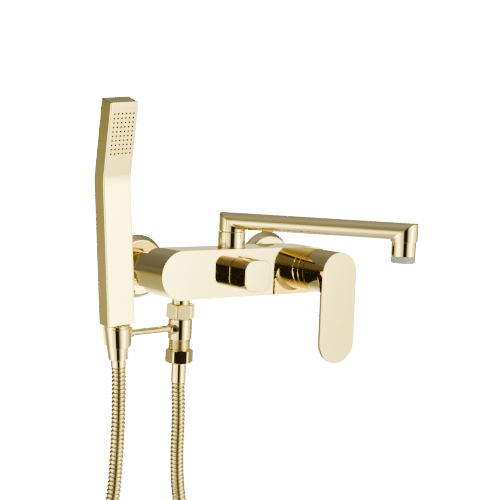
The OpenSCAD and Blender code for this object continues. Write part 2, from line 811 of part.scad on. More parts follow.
module hose_tie() {
    bottom_z = coil_z - coil_r;
    color(rubber) translate([coil_x, coil_mid_y, bottom_z]) difference() {
        cube([tie_w, coil_w + 2 * tie_t, hose_d + 2 * tie_t], center = true);
        translate([0, 0, 0.2]) cube([tie_w + 1, coil_w + 0.1, hose_d + 0.6], center = true);
    }
}

// ---------------------------------------------------------------- hand shower

module hand_ferrule() {
    color(gold) at_hand() difference() {
        union() {
            translate([0, 0, hand_ferrule_s])
                cylinder(r = hand_ferrule_r, h = hand_collar_s - hand_ferrule_s + 0.5);
            translate([0, 0, hand_collar_s]) cylinder(r = hose_thread_r - 0.3, h = hand_collar_t);
        }
        translate([0, 0, hand_ferrule_s - 1]) cylinder(r = 4, h = 40);
    }
}

module hand_nut() {
    color(gold) at_hand() difference() {
        translate([0, 0, nut_bottom])
            cylinder(r1 = nut_bottom_r, r2 = nut_top_r, h = nut_top - nut_bottom);
        translate([0, 0, hand_collar_s - 0.1]) cylinder(r = hose_thread_r + 0.07, h = 20);
        translate([0, 0, nut_bottom - 1]) cylinder(r = hand_ferrule_r + run, h = 40);
    }
}

module hand_washer() {
    color(rubber) at_hand()
        ring_z(hose_thread_r - 0.3, 5, hand_collar_s + hand_collar_t + 0.05, hand_thread_s - 0.05);
}

module hand_inlet() {
    color(brass) at_hand() difference() {
        union() {
            translate([0, 0, hand_thread_s]) cylinder(r = hose_thread_r, h = bar_s - 0.1 - hand_thread_s);
            translate([0, 0, bar_s - 1]) cylinder(r = bar_d / 2 - bar_wall - 0.6, h = 16);
        }
        translate([0, 0, hand_thread_s - 1]) cylinder(r = 4.5, h = 40);
    }
}

// A point on the bar's side profile: d in front of (+) or behind (-) the centreline, at the angle a
function bend_centre_y() = -bend_r;
function handle_end() = handle_len - bend_r * tan(head_bend / 2);
function bend_point(offset, a) =
    [bend_centre_y() + (bend_r - offset) * cos(a), handle_end() + (bend_r - offset) * sin(a)];
function head_point(offset, s) =
    let (base = bend_point(offset, head_bend))
    [base[0] - s * sin(head_bend), base[1] + s * cos(head_bend)];
function head_straight() = head_len - bend_r * tan(head_bend / 2);

// Side profile of the bar, drawn in by inset; x is towards the wall and y is up the bar
module bar_profile(inset) {
    half = bar_d / 2 - inset;
    steps = 8;
    polygon(concat(
        [[half, inset]],
        [for (i = [0:steps]) bend_point(-half, head_bend * i / steps)],
        [head_point(-half, head_straight() - inset), head_point(half, head_straight() - inset)],
        [for (i = [steps:-1:0]) bend_point(half, head_bend * i / steps)],
        [[-half, inset]]
    ));
}

// The bar's profile made w wide, standing on the bottom of the bar
module bar_solid(w, inset) {
    translate([-w / 2, 0, bar_s]) rotate([90, 0, 90]) linear_extrude(w) bar_profile(inset);
}

// The frame of the head's front face: X across, Z up the head from the bend, Y into the head
module at_face() {
    at_hand() translate([0, 0, bar_s + handle_len]) rotate([head_bend, 0, 0])
        translate([0, -bar_d / 2, 0]) children();
}

module hand_shell() {
    rim = bar_wall + plate_margin;
    color(gold) difference() {
        at_hand() bar_solid(bar_w, 0);
        at_hand() bar_solid(bar_w - 2 * bar_wall, bar_wall);
        at_hand() translate([0, 0, bar_s - 1]) cylinder(r = bar_d / 2 - bar_wall - 0.5, h = 5);
        at_face() translate([-bar_w / 2 + rim, -1, plate_s0])
            cube([bar_w - 2 * rim, bar_wall + 2, plate_s1 - plate_s0]);
    }
}

// Repeats its children at every nozzle
module at_nozzles() {
    for (col = [0:nozzle_cols - 1], row = [0:nozzle_rows - 1])
        translate([(col - (nozzle_cols - 1) / 2) * nozzle_pitch_x, 0, nozzle_s0 + row * nozzle_pitch])
            children();
}

module spray_plate() {
    half = bar_w / 2 - bar_wall - plate_margin - fit;
    color(gold) at_face() difference() {
        translate([-half, 0.05, plate_s0 + fit]) cube([2 * half, plate_t, plate_s1 - plate_s0 - 2 * fit]);
        at_nozzles() rotate([-90, 0, 0]) translate([0, 0, -1]) cylinder(r = nozzle_hole_r, h = 4, $fn = 8);
    }
}

module nozzle_mat() {
    half = bar_w / 2 - bar_wall - plate_margin - fit;
    color(rubber) at_face() {
        translate([-half, plate_t + 0.1, plate_s0 + fit]) cube([2 * half, 1.6, plate_s1 - plate_s0 - 2 * fit]);
        at_nozzles() rotate([-90, 0, 0]) translate([0, 0, -0.25])
            cylinder(r = nozzle_r, h = plate_t + 0.6, $fn = 8);
    }
}

// ---------------------------------------------------------------- nodes

body();
wall_union(left_x);  // wall_union_left
wall_union(right_x);  // wall_union_right
wall_flange(left_x);  // wall_flange_left
wall_flange(right_x);  // wall_flange_right
union_nut(left_x);  // union_nut_left
union_nut(right_x);  // union_nut_right
inlet_washers();
inlet_strainers();
bonnet();
cartridge_base();
cartridge_seals();
fixed_disc();
cartridge_housing();
cartridge_nut();
diverter_housing();
diverter_seal();
spout_socket();
spout_screw();
outlet_nipple();
outlet_washer();
outlet_nut();
holder_tee();
check_valve();
holder_arm();
holder_clip();
hose_washer();
hose_nut();
hose_ferrule();
hose_run_outlet();
hose_run_hand();
hose_coil();
hose_tie();
lever_carrier();
pivot_pin();
moving_disc();
lever();
lever_stem();
lever_screw();
diverter_stem();
diverter_knob();
knob_screw();
spout_arm();
spout_spigot();
spout_o_rings();
outlet_sleeve();
aerator_housing();
aerator_insert();
aerator_washer();
hand_ferrule();
hand_nut();
hand_washer();
hand_inlet();
hand_shell();
spray_plate();
nozzle_mat();
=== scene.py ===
# Looks of a wall mounted bath and shower mixer, built around its imported frame.
# Sizes are in millimetres until a mesh is made; new_piece() turns them into metres.
# The hose's route is the one thing in metres.

import math

import bmesh
import bpy
from mathutils import Matrix, Vector


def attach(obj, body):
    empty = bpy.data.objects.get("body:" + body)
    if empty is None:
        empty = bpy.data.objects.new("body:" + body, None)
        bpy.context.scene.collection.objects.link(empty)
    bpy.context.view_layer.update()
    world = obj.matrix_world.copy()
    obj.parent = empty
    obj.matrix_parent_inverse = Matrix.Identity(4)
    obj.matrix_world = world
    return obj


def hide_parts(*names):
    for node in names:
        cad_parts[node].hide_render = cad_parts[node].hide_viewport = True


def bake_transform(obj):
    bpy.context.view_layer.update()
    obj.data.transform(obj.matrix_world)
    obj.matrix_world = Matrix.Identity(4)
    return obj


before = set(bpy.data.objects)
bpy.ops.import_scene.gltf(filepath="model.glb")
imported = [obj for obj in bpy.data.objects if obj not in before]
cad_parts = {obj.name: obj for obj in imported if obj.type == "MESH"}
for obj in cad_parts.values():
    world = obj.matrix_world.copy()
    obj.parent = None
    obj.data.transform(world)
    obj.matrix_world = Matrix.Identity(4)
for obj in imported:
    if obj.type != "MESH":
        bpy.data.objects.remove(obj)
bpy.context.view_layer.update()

MM = 0.001

# Main sizes, as in the part
BODY_MID_Y, BODY_FRONT_Y, BODY_TOP_Z = -60, -79, 22
INLETS = {"left": -75, "right": 75}
HUB_R, LEVER_DROP, PLATE_FRONT_Y, PLATE_BACK_Y, PIVOT_Y = 20.7, 63.6, -116.2, -112.2, -97
SPOUT_X, SPOUT_TURN, SPOUT_LEN, SPOUT_W, SPOUT_H = -10, 55.4, 160.7, 25, 15.4
LEG_Z, TUBE_Z, ELBOW_Z, SLEEVE_Z, AERATOR_Z = 37, 46.6, 37.5, 24.8, 18.5
OUTLET_X, ARM_Z, ARM_TURN = -64, -49.3, 7.1
TEE_TOP, TEE_BOTTOM, HOSE_NUT_TOP = -41.2, -59.5, -68.7
HAND_AT, LEAN_SIDE, LEAN_FRONT = (-134.853, -68.825, -49.3), 4.7, 1.2
BAR_W, BAR_D, BAR_S, HANDLE_LEN, HEAD_LEN, HEAD_BEND, BEND_R = 27, 17, 8.9, 126.6, 69, 14.4, 45
HOSE_D = 13.4
HALF_INCH_THREAD_R, UNION_THREAD_R = 10.478, 13.2
SPRAY_FIELD_EDGE, SPRAY_FIELD_LOW, SPRAY_FIELD_HIGH = BAR_W / 2 - 3.4, 20, 64
BACKDROP = 20          # how bright the background and the floor look to the camera
FLOOR_Z = -420

# Places: each matrix takes a piece from its own frame to the part's frame, in millimetres
at_outlet = Matrix.Translation((OUTLET_X, BODY_MID_Y, 0))
at_spout = Matrix.Translation((SPOUT_X, BODY_MID_Y, 0))
along_spout = at_spout @ Matrix.Rotation(math.radians(-SPOUT_TURN), 4, "Z")
along_arm = (
    Matrix.Translation((OUTLET_X, BODY_MID_Y, ARM_Z))
    @ Matrix.Rotation(math.radians(ARM_TURN), 4, "Z")
    @ Matrix.Rotation(math.radians(-90), 4, "Y")
)
at_hand = (
    Matrix.Translation(HAND_AT)
    @ Matrix.Rotation(math.radians(-LEAN_SIDE), 4, "Y")
    @ Matrix.Rotation(math.radians(LEAN_FRONT), 4, "X")
)
at_face = (
    at_hand
    @ Matrix.Translation((0, 0, BAR_S + HANDLE_LEN))
    @ Matrix.Rotation(math.radians(HEAD_BEND), 4, "X")
    @ Matrix.Translation((0, -BAR_D / 2, 0))
)


def facing(x):
    """A frame whose Z axis points out of the wall, at the sideways place x."""
    return Matrix.Translation((x, 0, 0)) @ Matrix.Rotation(math.radians(90), 4, "X")


# ---------------------------------------------------------------- camera

CAMERA_TURN, CAMERA_DROP, CAMERA_ROLL = (math.radians(a) for a in (37, 5.65, 2.2))
CAMERA_PLACE = (-0.7136, -1.0224, 0.1379)
LENS, SENSOR_WIDTH = 93.6, 36
forward = Vector((
    math.sin(CAMERA_TURN) * math.cos(CAMERA_DROP),
    math.cos(CAMERA_TURN) * math.cos(CAMERA_DROP),
    -math.sin(CAMERA_DROP),
))
level_right = Vector((math.cos(CAMERA_TURN), -math.sin(CAMERA_TURN), 0))
camera_up = Matrix.Rotation(-CAMERA_ROLL, 3, forward) @ level_right.cross(forward)
camera_right = forward.cross(camera_up)

camera_data = bpy.data.cameras.new("Camera")
camera_data.lens = LENS
camera_data.sensor_width = SENSOR_WIDTH
camera = bpy.data.objects.new("Camera", camera_data)
bpy.context.scene.collection.objects.link(camera)
camera_axes = Matrix((camera_right, camera_up, -forward)).transposed().to_4x4()
camera.matrix_world = Matrix.Translation(CAMERA_PLACE) @ camera_axes
bpy.context.scene.camera = camera


# ---------------------------------------------------------------- node trees

def feed(tree, value, socket):
    """Links another node's output to a socket, or sets the socket to a value."""
    if isinstance(value, bpy.types.NodeSocket):
        tree.links.new(value, socket)
    else:
        socket.default_value = value


def math_node(tree, operation, values):
    node = tree.nodes.new("ShaderNodeMath")
    node.operation = operation
    for socket, value in zip(node.inputs, values):
        feed(tree, value, socket)
    return node.outputs[0]


# ---------------------------------------------------------------- materials

class Finish:
    """A procedural material on Object coordinates: noise drives its colour, roughness and bump."""

    def __init__(self, name):
        self.material = bpy.data.materials.new(name)
        self.material.use_nodes = True
        self.nodes = self.material.node_tree.nodes
        self.links = self.material.node_tree.links
        self.shader = self.nodes["Principled BSDF"]
        self.place = self.nodes.new("ShaderNodeTexCoord").outputs["Object"]

    def noise(self, scale, detail=3, stretch=None):
        """Noise with features of about one over scale metres, stretched along an axis if asked."""
        node = self.nodes.new("ShaderNodeTexNoise")
        node.inputs["Scale"].default_value = scale
        node.inputs["Detail"].default_value = detail
        where = self.place
        if stretch:
            mapping = self.nodes.new("ShaderNodeMapping")
            mapping.inputs["Scale"].default_value = stretch
            self.links.new(where, mapping.inputs["Vector"])
            where = mapping.outputs["Vector"]
        self.links.new(where, node.inputs["Vector"])
        return node.outputs["Fac"]

    def colour(self, pattern, dark, light):
        ramp = self.nodes.new("ShaderNodeValToRGB")
        first, second = ramp.color_ramp.elements
        first.position, first.color = 0.35, (*dark, 1)
        second.position, second.color = 0.65, (*light, 1)
        self.links.new(pattern, ramp.inputs["Fac"])
        self.links.new(ramp.outputs["Color"], self.shader.inputs["Base Color"])
        return self

    def roughness(self, pattern, low, high):
        spread = self.nodes.new("ShaderNodeMapRange")
        spread.inputs["From Min"].default_value = 0.3
        spread.inputs["From Max"].default_value = 0.7
        spread.inputs["To Min"].default_value = low
        spread.inputs["To Max"].default_value = high
        self.links.new(pattern, spread.inputs["Value"])
        self.links.new(spread.outputs["Result"], self.shader.inputs["Roughness"])
        return self

    def bump(self, pattern, strength, depth):
        node = self.nodes.new("ShaderNodeBump")
        node.inputs["Strength"].default_value = strength
        node.inputs["Distance"].default_value = depth
        self.links.new(pattern, node.inputs["Height"])
        self.links.new(node.outputs["Normal"], self.shader.inputs["Normal"])
        return self

    def fixed(self, **values):
        """Sets the shader's own sockets. An underscore stands for a space in a socket's name."""
        for name, value in values.items():
            self.shader.inputs[name.replace("_", " ")].default_value = value
        return self


def polished_gold():
    f = Finish("gold_plating").fixed(Metallic=1.0)
    f.colour(f.noise(35), (1.0, 0.835, 0.44), (1.0, 0.85, 0.47))
    f.roughness(f.noise(240, 4), 0.035, 0.065)
    return f.bump(f.noise(90, 2), 0.05, 0.0001).material


def satin_gold():
    f = Finish("satin_gold").fixed(Metallic=1.0)
    f.colour(f.noise(60), (0.96, 0.77, 0.37), (1.0, 0.81, 0.42))
    f.roughness(f.noise(500, 4), 0.14, 0.2)
    return f.bump(f.noise(1500, 2), 0.08, 0.00005).material


def hose_metal():
    f = Finish("hose_metal").fixed(Metallic=1.0)
    f.colour(f.noise(70), (0.74, 0.6, 0.31), (0.88, 0.73, 0.39))
    f.roughness(f.noise(300, 4), 0.09, 0.15)
    return f.bump(f.noise(220, 2), 0.1, 0.0001).material


def raw_brass():
    f = Finish("raw_brass").fixed(Metallic=1.0)
    f.colour(f.noise(120), (0.62, 0.44, 0.16), (0.78, 0.58, 0.25))
    f.roughness(f.noise(900, 4), 0.28, 0.42)
    return f.bump(f.noise(60, 2, (1, 1, 40)), 0.15, 0.0001).material


def stainless_steel():
    f = Finish("stainless_steel").fixed(Metallic=1.0)
    f.colour(f.noise(90), (0.5, 0.5, 0.49), (0.62, 0.62, 0.61))
    f.roughness(f.noise(900, 4, (1, 1, 12)), 0.22, 0.34)
    return f.bump(f.noise(1200, 2, (1, 1, 12)), 0.1, 0.00005).material


def black_rubber():
    f = Finish("black_rubber").fixed(Metallic=0.0, Specular_IOR_Level=0.2)
    f.colour(f.noise(300), (0.012, 0.011, 0.010), (0.03, 0.028, 0.026))
    f.roughness(f.noise(700, 3), 0.5, 0.68)
    return f.bump(f.noise(2500, 3), 0.25, 0.0001).material


def white_plastic():
    f = Finish("white_plastic").fixed(Metallic=0.0)
    f.colour(f.noise(80), (0.66, 0.65, 0.6), (0.76, 0.75, 0.71))
    f.roughness(f.noise(500, 3), 0.34, 0.46)
    return f.bump(f.noise(2200, 3), 0.15, 0.00008).material


def grey_plastic():
    f = Finish("grey_plastic").fixed(Metallic=0.0)
    f.colour(f.noise(420, 4), (0.62, 0.64, 0.68), (0.78, 0.8, 0.85))
    f.roughness(f.noise(600, 3), 0.38, 0.52)
    return f.bump(f.noise(1800, 3), 0.25, 0.0001).material


def ceramic():
    f = Finish("ceramic").fixed(Metallic=0.0)
    f.colour(f.noise(200), (0.72, 0.68, 0.58), (0.82, 0.79, 0.7))
    f.roughness(f.noise(900, 3), 0.16, 0.24)
    return f.bump(f.noise(3000, 3), 0.08, 0.00005).material


MATERIALS = {
    "gold_plating": polished_gold(),
    "hose_metal": hose_metal(),
    "raw_brass": raw_brass(),
    "stainless_steel": stainless_steel(),
    "black_rubber": black_rubber(),
    "white_plastic": white_plastic(),
    "grey_plastic": grey_plastic(),
    "ceramic": ceramic(),
}
SATIN_GOLD = satin_gold()


# ---------------------------------------------------------------- mesh tools

def soften(points, reach, steps=3, closed=True):
    """Rounds the corners of a line. A point may carry its own reach: (point, reach), and 0 keeps it."""
    entries = [p if isinstance(p, tuple) else (p, reach) for p in points]
    line = []
    for i, (corner, own) in enumerate(entries):
        at_end = not closed and i in (0, len(entries) - 1)
        if at_end or own == 0:
            line.append(corner)
            continue
        back = entries[i - 1][0] - corner
        ahead = entries[(i + 1) % len(entries)][0] - corner
        size = min(own, 0.45 * back.length, 0.45 * ahead.length)
        start = corner + back.normalized() * size
        end = corner + ahead.normalized() * size
        for k in range(steps + 1):
            t = k / steps
            line.append(start * (1 - t) ** 2 + corner * (2 * t * (1 - t)) + end * t**2)
    return line


def new_piece(name, bm):
    """An object of the mesh in bm, which is in millimetres, smooth but with flat faces kept flat."""
    bmesh.ops.scale(bm, vec=(MM, MM, MM), verts=bm.verts)
    mesh = bpy.data.meshes.new(name)
    bm.to_mesh(mesh)
    bm.free()
    mesh.shade_smooth()
    mesh.set_sharp_from_angle(angle=math.radians(50))
    piece = bpy.data.objects.new(name, mesh)
    bpy.context.scene.collection.objects.link(piece)
    return piece


def even_shading(piece):
    modifier = piece.modifiers.new("Even shading", "WEIGHTED_NORMAL")
    modifier.weight = 80
    modifier.keep_sharp = True
    return piece


def skin_mesh(paths, matrix, closed):
    """A closed surface whose lengthwise lines are the paths. closed joins the two ends of each path."""
    bm = bmesh.new()
    rows = [[bm.verts.new(matrix @ p) for p in path] for path in paths]
    last = len(rows[0]) if closed else len(rows[0]) - 1
    for one, other in zip(rows, rows[1:] + rows[:1]):
        for k in range(last):
            after = (k + 1) % len(one)
            bm.faces.new((one[k], one[after], other[after], other[k]))
    bmesh.ops.remove_doubles(bm, verts=bm.verts, dist=0.0005)
    bmesh.ops.recalc_face_normals(bm, faces=bm.faces)
    return bm


def skin(name, paths, matrix=Matrix.Identity(4), closed=False):
    return even_shading(new_piece(name, skin_mesh(paths, matrix, closed)))


def full_turn(sides):
    return [2 * math.pi * k / sides for k in range(sides)]


def with_reach(points, edge):
    """(across, along) or (across, along, reach) points as soften() wants them."""
    return [(Vector(p[:2]), p[2] if len(p) > 2 else edge) for p in points]


def lathe(name, outline_at, matrix, sides, edge=0.4, steps=3):
    """Paths round the Z axis. outline_at(angle) is [(radius, height) or (radius, height, reach)]."""
    paths = []
    for angle in full_turn(sides):
        outline = outline_at(angle)
        open_ended = outline[0][0] == 0
        line = soften(with_reach(outline, edge), edge, steps, closed=not open_ended)
        paths.append([Vector((r * math.cos(angle), r * math.sin(angle), h)) for r, h in line])
    return skin(name, paths, matrix, closed=not open_ended)


def turned(name, outline, matrix, sides=96, edge=0.4, steps=3):
    """A round piece. An outline that starts and ends on the axis is solid, and any other is a ring."""
    return lathe(name, lambda angle: outline, matrix, sides, edge, steps)


def thread(radius, low, high, pitch=1.8, depth=1.0):
    """Outline points of a pipe thread from low to high."""
    count = round((high - low) / pitch)
    step = (high - low) / count
    points = []
    for k in range(count):
        points.append((radius - depth, low + step * k))
        points.append((radius, low + step * (k + 0.5)))
    points.append((radius - depth, high))
    return points


def hex_nut(name, flats, low, high, bores, matrix, turn=0):
    """A hexagonal nut with turned-down corners. bores is its inside, as [(radius, height)]."""
    face = flats / 2 - 0.4
    tilt = math.tan(math.radians(30))

    def outline(angle):
        from_flat = (angle - math.radians(turn)) % math.radians(60) - math.radians(30)
        out = min(flats / 2 / math.cos(from_flat), flats / math.sqrt(3) - 0.3)
        drop = (out - face) * tilt
        return [*bores, (face, high), (out, high - drop), (out, low + drop), (face, low)]

    return lathe(name, outline, matrix, 144, edge=0.3, steps=2)


def refined(name, node, edge):
    """A copy of a CAD node's mesh with its loose triangles joined, and its edges rounded by edge mm."""
    bm = bmesh.new()
    bm.from_mesh(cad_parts[node].data)
    bmesh.ops.remove_doubles(bm, verts=bm.verts, dist=2e-6)
    bmesh.ops.dissolve_limit(bm, angle_limit=math.radians(0.5), verts=bm.verts, edges=bm.edges)
    bmesh.ops.scale(bm, vec=(1 / MM,) * 3, verts=bm.verts)
    piece = new_piece(name, bm)
    bevel = piece.modifiers.new("Soft edges", "BEVEL")
    bevel.width = edge * MM
    bevel.segments = 2
    bevel.limit_method = "ANGLE"
    bevel.angle_limit = math.radians(30)
    bevel.miter_outer = "MITER_ARC"
    return even_shading(piece)


def dress(piece, body, slot, *nodes, material=None):
    """Gives a piece its material, picked by slot name unless one is given, and its body, and lets it
    stand for CAD nodes.
    """
    piece.data.materials.clear()
    piece.data.materials.append(material or MATERIALS[slot])
    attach(piece, body)
    if nodes:
        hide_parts(*nodes)
    return piece


# ---------------------------------------------------------------- Geometry Nodes

class Recipe:
    """A Geometry Nodes tree with named inputs, run once on an object and baked to a plain mesh."""

    def __init__(self, name, inputs):
        self.tree = bpy.data.node_groups.new(name, "GeometryNodeTree")
        face = self.tree.interface
        face.new_socket("Geometry", in_out="INPUT", socket_type="NodeSocketGeometry")
        for title, (kind, value) in inputs.items():
            face.new_socket(title, in_out="INPUT", socket_type="NodeSocket" + kind)
        face.new_socket("Geometry", in_out="OUTPUT", socket_type="NodeSocketGeometry")
        self.values = {title: value for title, (kind, value) in inputs.items()}
        self.start = self.add("NodeGroupInput").outputs

    def add(self, kind, **inputs):
        """Adds a node. Each input is a value or another node's output."""
        node = self.tree.nodes.new(kind)
        for title, value in inputs.items():
            feed(self.tree, value, node.inputs[title.replace("_", " ")])
        return node

    def math(self, operation, *values):
        return math_node(self.tree, operation, values)

    def close(self, geometry):
        """Ends the tree: instances made real, shaded smooth, and given the material."""
        realized = self.add("GeometryNodeRealizeInstances", Geometry=geometry)
        smooth = self.add("GeometryNodeSetShadeSmooth", Geometry=realized.outputs[0])
        coated = self.add(
            "GeometryNodeSetMaterial", Geometry=smooth.outputs[0], Material=self.start["Material"]
        )
        end = self.tree.nodes.new("NodeGroupOutput")
        self.tree.links.new(coated.outputs[0], end.inputs["Geometry"])

    def bake(self, name, source):
        """Runs the tree on the object source and returns the result as a plain mesh object."""
        modifier = source.modifiers.new(self.tree.name, "NODES")
        modifier.node_group = self.tree
        for item in self.tree.interface.items_tree:
            if item.in_out == "INPUT" and item.name in self.values:
                modifier[item.identifier] = self.values[item.name]
        bpy.context.view_layer.update()
        graph = bpy.context.evaluated_depsgraph_get()
        mesh = bpy.data.meshes.new_from_object(source.evaluated_get(graph))
        source.modifiers.remove(modifier)
        bpy.data.objects.remove(source)
        mesh.name = name
        piece = bpy.data.objects.new(name, mesh)
        bpy.context.scene.collection.objects.link(piece)
        return piece


# ---------------------------------------------------------------- hose

# The route's given points: from the outlet's ferrule to the coil, and on to the hand shower
outlet_route = [
    (-0.064, -0.060, -0.09932), (-0.064, -0.060, -0.104), (-0.063, -0.060, -0.120),
    (-0.0626, -0.060, -0.142), (-0.0625, -0.0595, -0.164), (-0.060, -0.058, -0.191),
    (-0.053, -0.0545, -0.221), (-0.043, -0.050, -0.252), (-0.0345, -0.0465, -0.280),
    (-0.032, -0.04575, -0.300),
]
hand_route = [
    (-0.168, -0.080, -0.300), (-0.1655, -0.080, -0.280), (-0.157, -0.079, -0.253),
    (-0.146, -0.0765, -0.221), (-0.137, -0.073, -0.190), (-0.133, -0.070, -0.158),
    (-0.1315, -0.0688, -0.128), (-0.1314, -0.0683, -0.107), (-0.1317, -0.068, -0.088),
    (-0.1325, -0.0682, -0.07792),
]
COIL_CENTRE, COIL_R, COIL_TURNS, COIL_STEPS = (-0.100, -0.300), 0.068, 2.5, 60
HOSE_EXIT = outlet_route[0]
HOSE_LENGTH, RIB_PITCH, GROOVE_DEPTH = 1.504, 0.0037, 0.0013


def coil_points():
    """From the right side of the coil, going down, to its left side, going up."""
    points = []
    for k in range(1, COIL_STEPS):
        share = 1 - k / COIL_STEPS
        angle = math.pi + 2 * math.pi * COIL_TURNS * share
        y = hand_route[0][1] + (outlet_route[-1][1] - hand_route[0][1]) * share
        x = COIL_CENTRE[0] + COIL_R * math.cos(angle)
        points.append((x, y, COIL_CENTRE[1] + COIL_R * math.sin(angle)))
    return points


def smooth_line(points, pieces=8):
    """A smooth curve through every point."""
    knots = [Vector(p) for p in points]
    knots = [2 * knots[0] - knots[1], *knots, 2 * knots[-1] - knots[-2]]
    line = []
    for before, a, b, after in zip(knots, knots[1:], knots[2:], knots[3:]):
        reach = (b - a).length
        leave = (b - before) / ((b - a).length + (a - before).length) * reach
        arrive = (after - a) / ((b - a).length + (after - b).length) * reach
        for k in range(pieces):
            t = k / pieces
            line.append(
                a * (2 * t**3 - 3 * t**2 + 1) + leave * (t**3 - 2 * t**2 + t)
                + b * (3 * t**2 - 2 * t**3) + arrive * (t**3 - t**2)
            )
    line.append(knots[-2])
    return line


def line_length(line):
    return sum((b - a).length for a, b in zip(line, line[1:]))


def corrugated_hose(line):
    """A ribbed metal hose: a tube whose radius drops in a groove between two ribs."""
    curve = bpy.data.curves.new("Hose line", "CURVE")
    curve.dimensions = "3D"
    spline = curve.splines.new("POLY")
    spline.points.add(len(line) - 1)
    for point, place in zip(spline.points, line):
        point.co = (*place, 1)
    source = bpy.data.objects.new("Hose line", curve)
    bpy.context.scene.collection.objects.link(source)

    recipe = Recipe("Corrugated hose", {
        "Radius": ("Float", (HOSE_D / 2 - 0.02) * MM),
        "Ribs": ("Int", round(line_length(line) / RIB_PITCH)),
        "Rings in a rib": ("Int", 7),
        "Groove depth": ("Float", GROOVE_DEPTH),
        "Groove half width in rings": ("Float", 1.6),
        "Sides": ("Int", 22),
        "Material": ("Material", MATERIALS["hose_metal"]),
    })
    given = recipe.start
    count = recipe.math("MULTIPLY", given["Ribs"], given["Rings in a rib"])
    ringed = recipe.add(
        "GeometryNodeResampleCurve", Curve=given["Geometry"], Count=recipe.math("ADD", count, 1)
    )
    number = recipe.add("GeometryNodeInputIndex").outputs[0]
    in_rib = recipe.math("MODULO", number, given["Rings in a rib"])
    left_in_rib = recipe.math("SUBTRACT", given["Rings in a rib"], in_rib)
    from_groove = recipe.math("MINIMUM", in_rib, left_in_rib)
    up_the_side = recipe.math("DIVIDE", from_groove, given["Groove half width in rings"])
    open_share = recipe.math("MAXIMUM", recipe.math("SUBTRACT", 1, up_the_side), 0)
    full_dip = recipe.math("DIVIDE", given["Groove depth"], given["Radius"])
    scale = recipe.math("SUBTRACT", 1, recipe.math("MULTIPLY", open_share, full_dip))
    circle = recipe.add(
        "GeometryNodeCurvePrimitiveCircle", Resolution=given["Sides"], Radius=given["Radius"]
    )
    tube = recipe.add(
        "GeometryNodeCurveToMesh", Curve=ringed.outputs[0], Profile_Curve=circle.outputs["Curve"],
        Scale=scale, Fill_Caps=True,
    )
    recipe.close(tube.outputs[0])
    return recipe.bake("corrugated_hose", source)


hose_line = smooth_line([*outlet_route, *coil_points(), *hand_route])
hose = corrugated_hose(hose_line)
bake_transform(hose)
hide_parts("hose_run_outlet", "hose_run_hand", "hose_coil")


def coil_strap():
    """A rubber band round the turns at the bottom of the coil."""
    low_y, high_y, half_h, width, wall = -84.2, -41.7, 7.2, 10, 1.3
    coil_bottom = 1000 * (COIL_CENTRE[1] - COIL_R)
    middle = Matrix.Translation((1000 * COIL_CENTRE[0], (low_y + high_y) / 2, coil_bottom))
    half = (high_y - low_y) / 2
    paths = []
    for angle in full_turn(72):
        # a flat oval, whose round ends follow the outer turns
        centre = Vector((0, math.copysign(half - half_h, math.cos(angle)), 0))
        outward = Vector((0, math.cos(angle), math.sin(angle)))
        section = [
            (centre + outward * (half_h + depth) + Vector((side * width / 2, 0, 0)), 0.4)
            for side, depth in ((-1, 0), (-1, wall), (1, wall), (1, 0))
        ]
        paths.append(soften(section, 0.4, 2))
    return skin("coil_strap", paths, middle, closed=True)


strap = dress(coil_strap(), "mixer", "black_rubber", "hose_tie")


# ---------------------------------------------------------------- body, unions and flanges

dress(refined("mixer_body", "body", 0.5), "mixer", "gold_plating", "body")

for side, x in INLETS.items():
    toward_user = facing(x)
    # heights run from the wall towards the user
    flange = [
        (28.3, 0.0), (30.0, 0.0), (30.0, 1.6), (29.2, 3.4), (26.9, 7.6, 0.9), (25.2, 9.0, 0.9),
        (12.9, 9.0), (12.9, 7.6), (24.4, 7.6), (26.0, 6.2), (28.3, 2.6),
    ]
    dress(turned(f"wall_flange_cup_{side}", flange, toward_user, 128), "mixer",
          "gold_plating", f"wall_flange_{side}")
    bores = [(13.35, 20), (13.35, 30.3), (10.4, 30.3), (10.4, 40)]
    dress(hex_nut(f"union_hex_nut_{side}", 32, 20, 40, bores, toward_user), "mixer",
          "gold_plating", f"union_nut_{side}")
    union = [
        (7.5, -15), *thread(HALF_INCH_THREAD_R, -14.6, -0.6), (12.5, -0.3), (12.5, 15.6),
        (12.6, 16.0), *thread(UNION_THREAD_R, 16.4, 24.6, 1.8, 0.8), (12.6, 25.0), (7.5, 25.0),
    ]
    dress(turned(f"threaded_union_{side}", union, toward_user, 72, 0.3, 2), "mixer",
          "raw_brass", f"wall_union_{side}")


# ---------------------------------------------------------------- bonnet and lever

def ball_line(radius, from_r, to_r, steps=8):
    """Outline points on a ball round the lever's pivot, in distances from the wall."""
    points = []
    for k in range(steps + 1):
        r = from_r + (to_r - from_r) * k / steps
        points.append((r, -PIVOT_Y - math.sqrt(radius**2 - r**2), 0.3 if k in (0, steps) else 0))
    return points


lever_side = facing(INLETS["right"])
bonnet = [(18, 76.8), (18, 79), (HUB_R, 79), *ball_line(23.29, HUB_R, 16), (16, 76.8)]
dress(turned("bonnet_ring", bonnet, lever_side, 128), "temperature_ring", "gold_plating", "bonnet")


def lever_outline():
    """Points round the plate, as (x, z) from the hub's axis, starting at its right side."""
    arc, side = 48, 24
    round_top = [math.pi * k / arc for k in range(arc)]
    round_bottom = [math.pi * (1 + k / arc) for k in range(arc + 1)]
    # the sides' points lie closer together near the hub, where the fillet is
    down = [LEVER_DROP * (k / side) ** 1.3 for k in range(side)]
    points = [Vector((math.cos(a), math.sin(a))) * HUB_R for a in round_top]
    points += [Vector((-HUB_R, -d)) for d in down]
    points += [
        Vector((math.cos(a), math.sin(a))) * HUB_R - Vector((0, LEVER_DROP)) for a in round_bottom
    ]
    return points + [Vector((HUB_R, -d)) for d in reversed(down[1:])]


